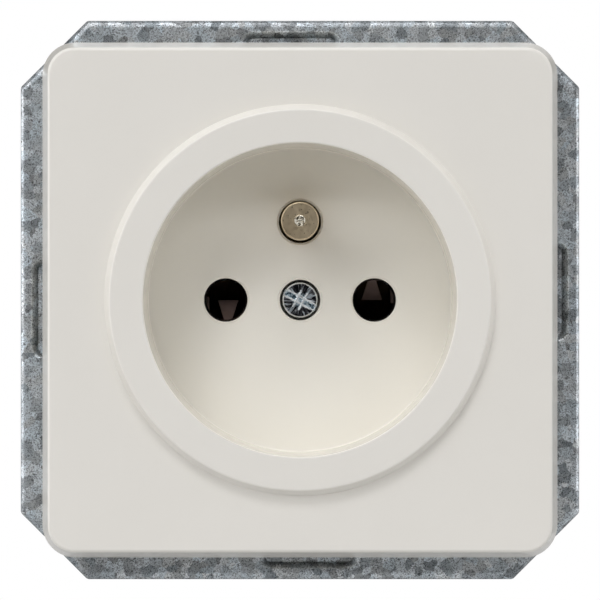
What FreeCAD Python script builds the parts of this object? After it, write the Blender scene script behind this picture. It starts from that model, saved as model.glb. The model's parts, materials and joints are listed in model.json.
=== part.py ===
"""Flush wall socket, type E: two pin holes and a fixed earth pin in a round dish.

Millimetres. X points right, Y points into the wall, Z points up, all seen from the front.
The origin is the middle of the socket in the wall plane, which is the back of the support plate's rim.
"""
import FreeCAD
import Part
import math
import os

# Support plate: pressed steel sheet with a sunk middle and four sunk lobes for the box screws
PLATE_SIDE = 71.0
PLATE_CORNER = 8.45
SHEET = 1.0
SHEET_EDGE = 0.35
PRESS_DEPTH = 1.0
PRESS_EDGE = 0.75
PRESS_WALL = 0.7
PAN_MARGIN = 4.5
PLATE_OPENING_PLAY = 0.7
LOBE_MARGIN = 2.15
LOBE_LONG_SIDE = 6.65
LOBE_SHORT_SIDE = 4.4
LOBE_CORNER = 0.6
BOX_SCREW_SPACING = 60.0
SLOT_WIDTH = 4.2
SLOT_LENGTH = 8.6

# Cover plate: one moulding with the raised ring and the dish
COVER_SIDE = 65.0
COVER_CORNER = 4.2
COVER_DEPTH = 7.0
COVER_DRAFT_DEG = 4.0
COVER_EDGE = 0.5
COVER_WALL = 2.0
MOUTH_RADIUS = 20.1
MOUTH_EDGE = 0.25
RING_WIDTH = 4.1
RING_FLARE = 0.55
RING_HEIGHT = 1.5
RING_EDGE = 0.3
RING_FOOT = 0.15
DISH_DEPTH = 15.0
DISH_TAPER = 0.4
DISH_CORNER = 0.25
DISH_WALL = 1.8
RIB_WIDTH = 1.2
RIB_SPACING = 26.0
RIB_HEIGHT = 3.0

# Pins of the matching plug, and the holes for them
PIN_SPACING = 19.0
PIN_HOLE_RADIUS = 2.78
PIN_HOLE_EDGE = 0.3
EARTH_OFFSET = 10.0
EARTH_PIN_RADIUS = 2.4
EARTH_PIN_LENGTH = 14.0
EARTH_PIN_EDGE = 0.3
EARTH_PIN_FOOT = 0.3
EARTH_SHANK_RADIUS = 2.1
EARTH_PIN_DIMPLE_RADIUS = 0.75
EARTH_PIN_DIMPLE_DEPTH = 0.45
EARTH_HOLE_RADIUS = 2.71
EARTH_FLANGE_RADIUS = 3.4
EARTH_FLANGE_THICKNESS = 1.2
EARTH_TENON_RADIUS = 1.5
EARTH_TENON_HEAD = 0.7

# Cover screw and its nut
SCREW_HEAD_RADIUS = 2.4
SCREW_HEAD_HEIGHT = 1.9
SCREW_HEAD_SUNK = 0.5
SCREW_HEAD_EDGE = 0.35
SCREW_WELL_RADIUS = 2.6
SCREW_RADIUS = 1.5
SCREW_SEAT = 1.5
SCREW_SLOT_WIDTH = 0.8
SCREW_SLOT_DEPTH = 0.9
SCREW_SLOT_TURN_DEG = 28.0
SCREW_CROSS_REACH = 1.35
WELL_WALL = 1.2
NUT_SIDE = 6.0
NUT_THICKNESS = 2.4
SCREW_PAST_NUT = 0.6

# Insert: lid and base of black moulding behind the dish
LID_GAP = 0.2
LID_THICKNESS = 1.5
FUNNEL_RADIUS = 2.5
BASE_SHOULDER = 9.0
COLLAR_PLAY = 0.3
COLLAR_WALL = 1.8
REAR_WALL = 2.0
REAR_WALL_ABOVE = 1.4
REAR_WALL_BELOW = 2.2
REAR_WALL_BESIDE = 1.0
REAR_CORNER = 5.0
REAR_EDGE = 1.0
ROTOR_RECESS_RADIUS = 14.0
ROTOR_RECESS_DEPTH = 6.5
BOSS_RADIUS = 4.0
NUT_DEPTH = 6.5

# Shutter: a rotor with two wings, each with a ramp that stands in a window behind a pin hole
SHUTTER_FIT = 0.08
SHUTTER_END_GAP = 0.3
HUB_RADIUS = 6.6
HUB_LENGTH = 3.7
WING_REACH = 12.6
WING_OPENING_SIDE = 0.4
WING_SPRING_SIDE = 4.5
WING_THICKNESS = 3.1
WING_CORNER = 0.3
WING_FLOOR_GAP = 0.4
WINDOW_MARGIN = 0.07
WINDOW_LUG = 0.95
RAMP_HALF_WIDTH_TOE = 1.35
RAMP_HALF_WIDTH_ROOT = 0.3
RAMP_ROOT = 0.35
RAMP_INSET = 0.25
STOP_WIDTH = 4.0
STOP_GAP = 0.1

# Torsion spring of the shutter
SPRING_WIRE = 0.45
SPRING_RADIUS = 4.75
SPRING_TURNS = 3
SPRING_TURN_GAP = 0.06
SPRING_LEG = 12.6
SPRING_BENDS = 16
SPRING_SIDES = 6
SPRING_END_GAP = 0.025

# Contacts
LEAF = 0.7
LEAF_WIDTH = 6.0
LEAF_PINCH = 2.1
LEAF_MOUTH = 2.9
LEAF_FOOT = 2.5
LEAF_BEND = 0.6
CHAMBER_DEPTH = 13.0
CHAMBER_HALF_HEIGHT = 4.6
CHAMBER_HALF_WIDTH = 4.3
CHAMBER_PLAY = 0.1
BAND_THICKNESS = 0.5
BAND_HEIGHT = 3.0

# Terminals
TERMINAL_WIDTH = 7.8
TERMINAL_HEIGHT = 7.6
TERMINAL_DROP = 13.4
TERMINAL_SHIFT = 0.8
TERMINAL_LENGTH = 8.2
TERMINAL_EDGE = 0.3
WIRE_RADIUS = 1.7
WIRE_ENTRY_RADIUS = 1.9
TERMINAL_SCREW_RADIUS = 1.75
TERMINAL_SCREW_LENGTH = 6.4
TERMINAL_SCREW_TIP = 1.2
TERMINAL_SCREW_SLOT = 0.7
TERMINAL_SCREW_WELL = 2.1
THREAD_FIT = 0.03
EARTH_TERMINAL_RISE = 16.2
STRIP = 1.0
STRIP_PLAY = 0.1

# Turned edges are rounded in this many bevels
EDGE_BEVELS = 1

# Rivets
SUPPORT_RIVET_COUNT = 2
SUPPORT_RIVET_FIRST_DEG = 45.0
SUPPORT_RIVET_RADIUS = 1.5
SUPPORT_HEAD_RADIUS = 2.3
SUPPORT_HEAD_HEIGHT = 0.7
EAR_RADIUS = 3.0
EAR_THICKNESS = 2.5
EAR_REACH = 1.6
INSERT_RIVET_WALL = 2.95
INSERT_RIVET_Z = 5.5
INSERT_RIVET_RIM = 0.9
INSERT_RIVET_RADIUS = 1.25
INSERT_HEAD_RADIUS = 2.0
INSERT_HEAD_HEIGHT = 0.6
RIVET_FIT = 0.05
HEAD_FIT = 0.15

# Levels along Y, from the front to the back
SHEET_FRONT = -SHEET
COVER_FRONT = SHEET_FRONT - COVER_DEPTH
COVER_UNDERSIDE = COVER_FRONT + COVER_WALL
RING_CREST = COVER_FRONT - RING_HEIGHT
DISH_FLOOR = RING_CREST + DISH_DEPTH
DISH_BACK = DISH_FLOOR + DISH_WALL
LID_FRONT = DISH_BACK + LID_GAP
LID_BACK = LID_FRONT + LID_THICKNESS
ROTOR_FLOOR = LID_BACK + ROTOR_RECESS_DEPTH
CHAMBER_FLOOR = ROTOR_FLOOR + CHAMBER_DEPTH
BASE_BACK = CHAMBER_FLOOR + REAR_WALL
HEAD_FRONT = DISH_FLOOR + SCREW_HEAD_SUNK
HEAD_BACK = HEAD_FRONT + SCREW_HEAD_HEIGHT
WELL_BACK = HEAD_BACK + SCREW_SEAT
HUB_FRONT = LID_BACK + SHUTTER_END_GAP
HUB_BACK = HUB_FRONT + HUB_LENGTH
WING_BACK = ROTOR_FLOOR - WING_FLOOR_GAP
WING_FRONT = WING_BACK - WING_THICKNESS
WINDOW_RADIUS = PIN_HOLE_RADIUS + WINDOW_MARGIN
NUT_FRONT = BASE_BACK - NUT_DEPTH
PAN_BACK = PRESS_DEPTH

STRIP_BACK = ROTOR_FLOOR + STRIP

# Places seen from the front
PIN_X = PIN_SPACING / 2
TERMINAL_X = PIN_X + TERMINAL_SHIFT
INSERT_RIVET_X = PIN_X + CHAMBER_HALF_WIDTH + INSERT_RIVET_WALL + INSERT_RIVET_RADIUS
TERMINAL_ROOM_X = TERMINAL_X + TERMINAL_WIDTH / 2 + CHAMBER_PLAY
TERMINAL_ROOM_Z = TERMINAL_DROP + TERMINAL_HEIGHT / 2 + CHAMBER_PLAY
EARTH_ROOM_Z = EARTH_TERMINAL_RISE + TERMINAL_HEIGHT / 2 + CHAMBER_PLAY

# The ring stands round the dish, and the insert is as wide as the dish, its rivets or its terminals need
RING_TOP_RADIUS = MOUTH_RADIUS + RING_WIDTH
RING_BASE_RADIUS = RING_TOP_RADIUS + RING_FLARE
DISH_FLOOR_RADIUS = MOUTH_RADIUS - DISH_TAPER
DISH_OUTER_RADIUS = MOUTH_RADIUS + DISH_WALL
PLATE_OPENING_RADIUS = DISH_OUTER_RADIUS + PLATE_OPENING_PLAY
RIVETS_REACH = math.hypot(INSERT_RIVET_X, INSERT_RIVET_Z) + INSERT_HEAD_RADIUS + HEAD_FIT
COLLAR_RADIUS = max(
    DISH_OUTER_RADIUS + COLLAR_PLAY,
    RIVETS_REACH + INSERT_RIVET_RIM + SHUTTER_END_GAP,
    math.hypot(TERMINAL_ROOM_X, TERMINAL_ROOM_Z) + REAR_WALL_ABOVE - COLLAR_WALL,
)
BASE_RADIUS = COLLAR_RADIUS + COLLAR_WALL
SUPPORT_RIVET_CIRCLE = BASE_RADIUS + EAR_REACH
PAN_RADIUS = BASE_RADIUS + PAN_MARGIN
LOBE_REACH = PLATE_SIDE / 2 - LOBE_MARGIN

INTO_WALL = FreeCAD.Vector(0, 1, 0)
ORIGIN = FreeCAD.Vector(0, 0, 0)
THROUGH = 100.0


def vec(x, y, z):
    return FreeCAD.Vector(x, y, z)


def disc(radius, y0, y1, x=0.0, z=0.0):
    """Round bar along Y between two levels."""
    return Part.makeCylinder(radius, y1 - y0, vec(x, y0, z), INTO_WALL)


def cone(radius0, radius1, y0, y1, x=0.0, z=0.0):
    return Part.makeCone(radius0, radius1, y1 - y0, vec(x, y0, z), INTO_WALL)


def upright(radius, x, y, z0, z1):
    """Round bar along Z between two heights."""
    return Part.makeCylinder(radius, z1 - z0, vec(x, y, z0), vec(0, 0, 1))


def block(x0, x1, y0, y1, z0, z1):
    return Part.makeBox(x1 - x0, y1 - y0, z1 - z0, vec(x0, y0, z0))


def rounded_wire(corners, place):
    """Closed wire through corners given as (u, v, radius), each rounded by its own radius."""
    points = [vec(u, v, 0) for u, v, radius in corners]
    count = len(corners)
    starts, middles, ends = [], [], []
    for i in range(count):
        here = points[i]
        to_last = (points[i - 1] - here).normalize()
        to_next = (points[(i + 1) % count] - here).normalize()
        half_angle = to_last.getAngle(to_next) / 2
        radius = corners[i][2]
        reach = radius / math.tan(half_angle)
        inward = (to_last + to_next).normalize() if radius else vec(0, 0, 0)
        starts.append(here + to_last * reach)
        ends.append(here + to_next * reach)
        middles.append(here + inward * (radius / math.sin(half_angle) - radius))
    edges = []
    for i in range(count):
        if corners[i][2]:
            arc = Part.Arc(place(starts[i]), place(middles[i]), place(ends[i]))
            edges.append(arc.toShape())
        following = starts[(i + 1) % count]
        if (following - ends[i]).Length > 1e-6:
            edges.append(Part.makeLine(place(ends[i]), place(following)))
    return Part.Wire(edges)


def front_wire(corners, level):
    """Wire in a plane parallel to the wall, from corners (x, z, radius)."""
    return rounded_wire(corners, lambda p: vec(p.x, level, p.y))


def slab(corners, y0, y1):
    return Part.Face(front_wire(corners, y0)).extrude(vec(0, y1 - y0, 0))


def eased(corner, last, following):
    """Points that replace one corner (u, v, radius) by a fillet in a few even bevels."""
    here = vec(corner[0], corner[1], 0)
    radius = corner[2]
    if not radius:
        return [here]
    to_last = (vec(last[0], last[1], 0) - here).normalize()
    to_next = (vec(following[0], following[1], 0) - here).normalize()
    half_angle = to_last.getAngle(to_next) / 2
    centre = here + (to_last + to_next).normalize() * (radius / math.sin(half_angle))
    start = here + to_last * (radius / math.tan(half_angle)) - centre
    end = here + to_next * (radius / math.tan(half_angle)) - centre
    sweep = start.getAngle(end)
    points = []
    for k in range(EDGE_BEVELS + 1):
        near = math.sin(sweep * (1 - k / EDGE_BEVELS)) / math.sin(sweep)
        far = math.sin(sweep * k / EDGE_BEVELS) / math.sin(sweep)
        points.append(centre + start * near + end * far)
    return points


def turned(corners):
    """Body of revolution about Y from a half section of corners (radius from axis, y, rounding)."""
    points = []
    for i in range(len(corners)):
        points += eased(corners[i], corners[i - 1], corners[(i + 1) % len(corners)])
    face = Part.Face(Part.makePolygon(points + points[:1]))
    return face.revolve(ORIGIN, INTO_WALL, 360)


def side_profile(corners, x0, x1):
    """Prism along X from corners (y, z, radius)."""
    wire = rounded_wire(corners, lambda p: vec(x0, p.x, p.y))
    return Part.Face(wire).extrude(vec(x1 - x0, 0, 0))


def rectangle(x0, x1, z0, z1, radius):
    return [(x0, z0, radius), (x1, z0, radius), (x1, z1, radius), (x0, z1, radius)]


def spun(shape, degrees):
    """Copy turned about the socket's middle axis, counterclockwise from the front."""
    copy = shape.copy()
    copy.rotate(ORIGIN, vec(0, -1, 0), degrees)
    return copy


def moved(shape, x, y, z):
    copy = shape.copy()
    copy.translate(vec(x, y, z))
    return copy


def joined(shapes):
    return shapes[0].fuse(shapes[1:]).removeSplitter()


def level_edges(shape, level, wanted=lambda edge: True):
    """Edges that lie flat in the plane y = level."""
    flat = []
    for edge in shape.Edges:
        box = edge.BoundBox
        if abs(box.YMin - level) < 1e-4 and abs(box.YMax - level) < 1e-4 and wanted(edge):
            flat.append(edge)
    return flat


def edge_reach(edge):
    """Largest distance of an edge from the middle axis, measured along X or Z."""
    box = edge.BoundBox
    return max(abs(box.XMin), abs(box.XMax), abs(box.ZMin), abs(box.ZMax))


def support_rivet_places():
    """Places of the rivets that hold the insert to the support plate, evenly spaced on a circle."""
    places = []
    for k in range(SUPPORT_RIVET_COUNT):
        angle = math.radians(SUPPORT_RIVET_FIRST_DEG + 360.0 * k / SUPPORT_RIVET_COUNT)
        places.append((SUPPORT_RIVET_CIRCLE * math.cos(angle), SUPPORT_RIVET_CIRCLE * math.sin(angle)))
    return places


# Support plate

def octagon(half, corner, radius):
    inner = half - corner
    corners = []
    for x, z in ((inner, half), (half, inner), (half, -inner), (inner, -half)):
        corners.append((x, z, radius))
    return corners + [(-x, -z, radius) for x, z, radius in corners]


def pressed_outline(grow, y0, y1):
    """Sunk middle with its four lobes, as a solid, grown sideways by the given amount."""
    parts = [disc(PAN_RADIUS + grow, y0, y1)]
    lobe = rectangle(
        -LOBE_LONG_SIDE - grow, LOBE_SHORT_SIDE + grow, 0.0, LOBE_REACH + grow, LOBE_CORNER + grow
    )
    lobe = slab(lobe, y0, y1)
    parts += [spun(lobe, 90 * k) for k in range(4)]
    return joined(parts)


def box_screw_slots():
    middle = (LOBE_SHORT_SIDE - LOBE_LONG_SIDE) / 2
    along = SLOT_LENGTH / 2
    across = SLOT_WIDTH / 2
    radial = BOX_SCREW_SPACING / 2
    outline = rectangle(
        middle - along, middle + along, radial - across, radial + across, across - 0.01
    )
    slot = slab(outline, SHEET_FRONT, PAN_BACK + SHEET)
    return [spun(slot, 90 * k) for k in range(4)]


def support_plate():
    half = PLATE_SIDE / 2
    sheet = slab(octagon(half, PLATE_CORNER, 0.6), SHEET_FRONT, 0.0)
    sheet = sheet.makeChamfer(SHEET_EDGE, level_edges(sheet, SHEET_FRONT))
    pan = pressed_outline(PRESS_WALL, SHEET_FRONT + SHEET / 2, PAN_BACK)
    plate = joined([sheet, pan])
    plate = plate.cut(pressed_outline(0.0, SHEET_FRONT - SHEET, PAN_BACK - SHEET))
    rim = level_edges(plate, SHEET_FRONT, lambda edge: edge_reach(edge) < half - SHEET_EDGE - 0.5)
    plate = plate.makeChamfer(PRESS_EDGE, rim)
    holes = [disc(PLATE_OPENING_RADIUS, -THROUGH, THROUGH)]
    for x, z in support_rivet_places():
        holes.append(disc(SUPPORT_RIVET_RADIUS + RIVET_FIT, -THROUGH, THROUGH, x, z))
    return plate.cut(holes + box_screw_slots())


# Cover plate

def cover_half(level):
    """Half width of the cover's outer walls at a level; they lean in towards the front."""
    return COVER_SIDE / 2 - math.tan(math.radians(COVER_DRAFT_DEG)) * (SHEET_FRONT - level)


def cover_block():
    """Tapered square block with the cover's outer form."""
    wires = []
    for level in (COVER_FRONT, SHEET_FRONT):
        half = cover_half(level)
        radius = COVER_CORNER + half - COVER_SIDE / 2
        wires.append(front_wire(rectangle(-half, half, -half, half, radius), level))
    return Part.makeLoft(wires, True, True)


def cover_cavity():
    half = cover_half(COVER_UNDERSIDE) - COVER_WALL
    return slab(rectangle(-half, half, -half, half, COVER_CORNER - COVER_WALL), COVER_UNDERSIDE, SHEET_FRONT)


def cover_centre():
    """Ring, dish and screw boss as one turned body."""
    boss = SCREW_WELL_RADIUS + WELL_WALL
    shoulder = RING_BASE_RADIUS + RING_HEIGHT
    return turned([
        (0.0, DISH_FLOOR, 0),
        (DISH_FLOOR_RADIUS, DISH_FLOOR, DISH_CORNER),
        (MOUTH_RADIUS, RING_CREST, MOUTH_EDGE),
        (RING_TOP_RADIUS, RING_CREST, RING_EDGE),
        (RING_BASE_RADIUS, COVER_FRONT, RING_FOOT),
        (shoulder, COVER_FRONT, 0),
        (shoulder, COVER_UNDERSIDE, 0),
        (RING_BASE_RADIUS - DISH_WALL, COVER_UNDERSIDE, 0),
        (DISH_OUTER_RADIUS, RING_CREST + COVER_WALL, 0),
        (DISH_OUTER_RADIUS, DISH_BACK, 0),
        (boss, DISH_BACK, 0),
        (boss, WELL_BACK, 0),
        (0.0, WELL_BACK, 0),
    ])


def cover_ribs():
    """Stiffening ribs from the dish to the side walls, two on each side."""
    ribs = []
    for k in range(4):
        for side in (-1, 1):
            middle = side * RIB_SPACING / 2
            rib = block(
                middle - RIB_WIDTH / 2, middle + RIB_WIDTH / 2,
                COVER_UNDERSIDE - COVER_WALL / 2, COVER_UNDERSIDE + RIB_HEIGHT,
                MOUTH_RADIUS * 0.8, COVER_SIDE / 2 - COVER_WALL / 2,
            )
            ribs.append(spun(rib, 90 * k))
    return ribs


def cover_plate():
    shell = cover_block()
    shell = shell.makeChamfer(COVER_EDGE, level_edges(shell, COVER_FRONT))
    shell = shell.cut(cover_cavity())
    shell = joined([shell] + cover_ribs())
    shell = shell.cut(disc(RING_BASE_RADIUS - DISH_WALL, -THROUGH, THROUGH))
    body = joined([shell, cover_centre()])
    holes = [
        disc(SCREW_WELL_RADIUS, -THROUGH, HEAD_BACK),
        disc(SCREW_RADIUS + HEAD_FIT, -THROUGH, THROUGH),
        disc(EARTH_HOLE_RADIUS, -THROUGH, THROUGH, 0.0, EARTH_OFFSET),
        disc(PIN_HOLE_RADIUS, -THROUGH, THROUGH, -PIN_X),
        disc(PIN_HOLE_RADIUS, -THROUGH, THROUGH, PIN_X),
    ]
    body = body.cut(holes)
    rims = level_edges(body, DISH_FLOOR, lambda edge: edge.Curve.Radius < DISH_FLOOR_RADIUS / 2)
    return body.makeChamfer(PIN_HOLE_EDGE, rims)


def cover_screw():
    head = turned([
        (0.0, HEAD_FRONT, 0),
        (SCREW_HEAD_RADIUS, HEAD_FRONT, SCREW_HEAD_EDGE),
        (SCREW_HEAD_RADIUS, HEAD_BACK, 0),
        (SCREW_RADIUS, HEAD_BACK, 0),
        (SCREW_RADIUS, NUT_FRONT + NUT_THICKNESS + SCREW_PAST_NUT, SCREW_HEAD_EDGE),
        (0.0, NUT_FRONT + NUT_THICKNESS + SCREW_PAST_NUT, 0),
    ])
    across = SCREW_SLOT_WIDTH / 2
    long_slot = block(
        -THROUGH, THROUGH, -THROUGH, HEAD_FRONT + SCREW_SLOT_DEPTH, -across, across
    )
    cross = block(
        -across, across, -THROUGH, HEAD_FRONT + SCREW_SLOT_DEPTH, -SCREW_CROSS_REACH, SCREW_CROSS_REACH
    )
    turn = -SCREW_SLOT_TURN_DEG
    return head.cut([spun(long_slot, turn), spun(cross, turn)])


def cover_nut():
    half = NUT_SIDE / 2
    nut = block(-half, half, NUT_FRONT, NUT_FRONT + NUT_THICKNESS, -half, half)
    return nut.cut(disc(SCREW_RADIUS + THREAD_FIT, -THROUGH, THROUGH))


# Insert

def insert_rivet_places():
    return [(-INSERT_RIVET_X, INSERT_RIVET_Z), (INSERT_RIVET_X, INSERT_RIVET_Z)]


def insert_lid():
    """Lid with a collar round the dish and an ear for each support rivet."""
    parts = [disc(BASE_RADIUS, PAN_BACK, LID_BACK)]
    for x, z in support_rivet_places():
        parts.append(disc(EAR_RADIUS, PAN_BACK, PAN_BACK + EAR_THICKNESS, x, z))
    lid = joined(parts)
    reach = PAN_BACK + EAR_THICKNESS
    holes = [
        disc(COLLAR_RADIUS, PAN_BACK, LID_FRONT),
        disc(SCREW_WELL_RADIUS + WELL_WALL + SHUTTER_END_GAP, -THROUGH, THROUGH),
        disc(EARTH_HOLE_RADIUS, -THROUGH, THROUGH, 0.0, EARTH_OFFSET),
    ]
    for x in (-PIN_X, PIN_X):
        holes.append(cone(PIN_HOLE_RADIUS, FUNNEL_RADIUS, LID_FRONT, LID_BACK, x))
    for x, z in insert_rivet_places():
        holes.append(disc(INSERT_RIVET_RADIUS + RIVET_FIT, -THROUGH, THROUGH, x, z))
        sunk = LID_FRONT + INSERT_HEAD_HEIGHT
        holes.append(disc(INSERT_HEAD_RADIUS + HEAD_FIT, LID_FRONT, sunk, x, z))
    for x, z in support_rivet_places():
        holes.append(disc(SUPPORT_RIVET_RADIUS + RIVET_FIT, PAN_BACK, reach, x, z))
        holes.append(disc(SUPPORT_HEAD_RADIUS + HEAD_FIT, reach, LID_BACK, x, z))
    return lid.cut(holes)


def base_rear():
    """Squarer rear half of the base, with its back edge broken all round."""
    half_width = INSERT_RIVET_X + INSERT_HEAD_RADIUS + REAR_WALL_BESIDE
    bottom = -TERMINAL_ROOM_Z - REAR_WALL_BELOW
    top = EARTH_ROOM_Z + REAR_WALL_ABOVE
    front = LID_BACK + BASE_SHOULDER / 2
    rear = slab(rectangle(-half_width, half_width, bottom, top, REAR_CORNER), front, BASE_BACK)
    rear = rear.makeChamfer(REAR_EDGE, level_edges(rear, BASE_BACK))
    round_bar = turned([
        (0.0, front, 0), (BASE_RADIUS, front, 0), (BASE_RADIUS, BASE_BACK, REAR_EDGE), (0.0, BASE_BACK, 0),
    ])
    return rear.common(round_bar)


def base_outside():
    return joined([disc(BASE_RADIUS, LID_BACK, LID_BACK + BASE_SHOULDER), base_rear()])


def pin_chamber(side):
    """Room for one contact and its terminal, open to the front and closed by the lid."""
    half_width = CHAMBER_HALF_WIDTH
    x = side * PIN_X
    contact_room = block(
        x - half_width, x + half_width, ROTOR_FLOOR, CHAMBER_FLOOR,
        -CHAMBER_HALF_HEIGHT, CHAMBER_HALF_HEIGHT,
    )
    x = side * TERMINAL_X
    half_width = TERMINAL_ROOM_X - TERMINAL_X
    terminal_room = block(
        x - half_width, x + half_width, LID_BACK, CHAMBER_FLOOR,
        -TERMINAL_ROOM_Z, TERMINAL_ROOM_Z - 2 * TERMINAL_DROP,
    )
    half_width = LEAF_WIDTH / 2 + CHAMBER_PLAY
    passage = block(
        x - half_width, x + half_width, ROTOR_FLOOR, CHAMBER_FLOOR, -TERMINAL_DROP, 0.0
    )
    entry = disc(WIRE_ENTRY_RADIUS, CHAMBER_FLOOR, BASE_BACK, x, -TERMINAL_DROP)
    well = upright(TERMINAL_SCREW_WELL, x, terminal_middle(), -THROUGH, -TERMINAL_DROP)
    return [contact_room, terminal_room, passage, entry, well]


def terminal_middle():
    """Level of the terminal screws of the live and neutral blocks."""
    return CHAMBER_FLOOR - LEAF - TERMINAL_LENGTH / 2


def earth_terminal_back():
    return STRIP_BACK + TERMINAL_LENGTH


def earth_chamber():
    half_width = TERMINAL_WIDTH / 2 + CHAMBER_PLAY
    bottom = 2 * EARTH_TERMINAL_RISE - EARTH_ROOM_Z
    foot = EARTH_OFFSET - EARTH_FLANGE_RADIUS - STRIP_PLAY
    back = earth_terminal_back()
    middle = STRIP_BACK + TERMINAL_LENGTH / 2
    return [
        block(-half_width, half_width, LID_BACK, STRIP_BACK, foot, EARTH_ROOM_Z),
        block(-half_width, half_width, STRIP_BACK, back, bottom, EARTH_ROOM_Z),
        disc(EARTH_FLANGE_RADIUS, STRIP_BACK, STRIP_BACK + 2 * EARTH_TENON_HEAD, 0.0, EARTH_OFFSET),
        disc(WIRE_ENTRY_RADIUS, back, BASE_BACK, 0.0, EARTH_TERMINAL_RISE),
        upright(TERMINAL_SCREW_WELL, 0.0, middle, EARTH_TERMINAL_RISE, THROUGH),
    ]


def rotor_stops():
    """Ribs on the recess wall that stop the wings; the lower one also takes a spring leg."""
    reach = math.sqrt(ROTOR_RECESS_RADIUS ** 2 - WING_OPENING_SIDE ** 2)
    inner = PIN_X + EARTH_PIN_RADIUS + STOP_GAP
    low = WING_OPENING_SIDE + STOP_GAP
    stop = block(-reach, -inner, LID_BACK, ROTOR_FLOOR, low, low + STOP_WIDTH)
    return [stop, spun(stop, 180)]


def insert_base():
    body = base_outside()
    body = body.cut(disc(ROTOR_RECESS_RADIUS, LID_BACK, ROTOR_FLOOR))
    boss = disc(BOSS_RADIUS, WELL_BACK + LID_GAP, ROTOR_FLOOR)
    body = joined([body, boss] + rotor_stops())
    pocket = NUT_SIDE / 2 + CHAMBER_PLAY / 2
    holes = pin_chamber(-1) + pin_chamber(1) + earth_chamber()
    holes.append(disc(SCREW_RADIUS + HEAD_FIT, -THROUGH, THROUGH))
    holes.append(block(-pocket, pocket, NUT_FRONT, BASE_BACK, -pocket, pocket))
    for x, z in insert_rivet_places():
        holes.append(disc(INSERT_RIVET_RADIUS + RIVET_FIT, -THROUGH, THROUGH, x, z))
    return body.cut(holes)


# Shutter

def shutter_ramp():
    """Left ramp: narrow and forward where it leaves the wing, wide and deep at mid-height."""
    x = -PIN_X + RAMP_INSET
    low = -WINDOW_RADIUS - RAMP_ROOT
    toe, root = RAMP_HALF_WIDTH_TOE, RAMP_HALF_WIDTH_ROOT
    outline = [(x - toe, 0.0, 0), (x - root, low, 0), (x + root, low, 0), (x + toe, 0.0, 0)]
    ramp = slab(outline, HUB_FRONT, WING_BACK)
    slope = side_profile(
        [(HUB_FRONT - 1.0, low - 1.0, 0), (WING_FRONT + 1.0, 1.0, 0), (HUB_FRONT - 1.0, 1.0, 0)],
        -THROUGH, 0.0,
    )
    return ramp.cut(slope)


def shutter_wing():
    """Left wing: an arm below the pin hole with a lug beside it, and a window behind it."""
    outline = rectangle(-WING_REACH, -BOSS_RADIUS, -WING_SPRING_SIDE, WING_OPENING_SIDE, WING_CORNER)
    wing = slab(outline, WING_FRONT, WING_BACK)
    window = disc(WINDOW_RADIUS, WING_FRONT, WING_BACK, -PIN_X)
    inside_lug = block(-WING_REACH + WINDOW_LUG, 0.0, WING_FRONT, WING_BACK, -PIN_X, PIN_X)
    return wing.cut(window.common(inside_lug))


def shutter():
    wing = joined([shutter_wing(), shutter_ramp()])
    hub = disc(HUB_RADIUS, HUB_FRONT, HUB_BACK)
    body = joined([hub, wing, spun(wing, 180)])
    spring_room = disc(HUB_RADIUS - SPRING_WIRE, HUB_BACK, WING_BACK)
    return body.cut([disc(BOSS_RADIUS + SHUTTER_FIT, -THROUGH, THROUGH), spring_room])


def shutter_spring():
    """Coil about the boss, with one leg under the right stop and one under the left wing."""
    pitch = SPRING_WIRE + SPRING_TURN_GAP
    level = HUB_BACK + SPRING_END_GAP + SPRING_WIRE / 2
    points = [vec(SPRING_LEG, level, -SPRING_RADIUS)]
    for k in range(SPRING_TURNS * SPRING_BENDS + 1):
        turn = 2 * math.pi * k / SPRING_BENDS
        x = -SPRING_RADIUS * math.sin(turn)
        z = -SPRING_RADIUS * math.cos(turn)
        points.append(vec(x, level + pitch * k / SPRING_BENDS, z))
    points.append(vec(-SPRING_LEG, level + pitch * SPRING_TURNS, -SPRING_RADIUS))
    path = Part.makePolygon(points)
    section = []
    for k in range(SPRING_SIDES + 1):
        turn = 2 * math.pi * k / SPRING_SIDES
        across = SPRING_WIRE / 2 * math.cos(turn)
        up = SPRING_WIRE / 2 * math.sin(turn)
        section.append(points[0] + vec(0, across, up))
    return path.makePipeShell([Part.makePolygon(section)], True, False, 1)


# Contacts, terminals and earth parts

def contact_leaves(x):
    """Two sprung leaves joined by a web on the chamber floor."""
    mouth = ROTOR_FLOOR + LEAF
    pinch = mouth + 2 * LEAF_MOUTH
    floor = CHAMBER_FLOOR
    outer = [
        (LEAF_MOUTH + LEAF, mouth, 0), (LEAF_PINCH + LEAF, pinch, LEAF_BEND),
        (LEAF_FOOT + LEAF, floor, LEAF_BEND + LEAF),
    ]
    inner = [
        (LEAF_FOOT, floor - LEAF, LEAF_BEND), (LEAF_PINCH, pinch, LEAF_BEND), (LEAF_MOUTH, mouth, 0),
    ]
    right = outer + [(-u, v, radius) for u, v, radius in reversed(outer)]
    left = [(-u, v, radius) for u, v, radius in reversed(inner)] + inner
    wire = rounded_wire(right + left, lambda p: vec(x + p.x, p.y, -LEAF_WIDTH / 2))
    return Part.Face(wire).extrude(vec(0, 0, LEAF_WIDTH))


def contact(side):
    x = side * TERMINAL_X
    half = LEAF_WIDTH / 2
    low = -TERMINAL_DROP - TERMINAL_HEIGHT / 2
    tail = block(x - half, x + half, CHAMBER_FLOOR - LEAF, CHAMBER_FLOOR, low, 0.0)
    tail = tail.cut(block(x - half, x + half, -THROUGH, THROUGH, -half + LEAF, 0.0))
    tail = tail.cut(disc(WIRE_RADIUS, -THROUGH, THROUGH, x, -TERMINAL_DROP))
    return joined([contact_leaves(side * PIN_X), tail])


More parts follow.
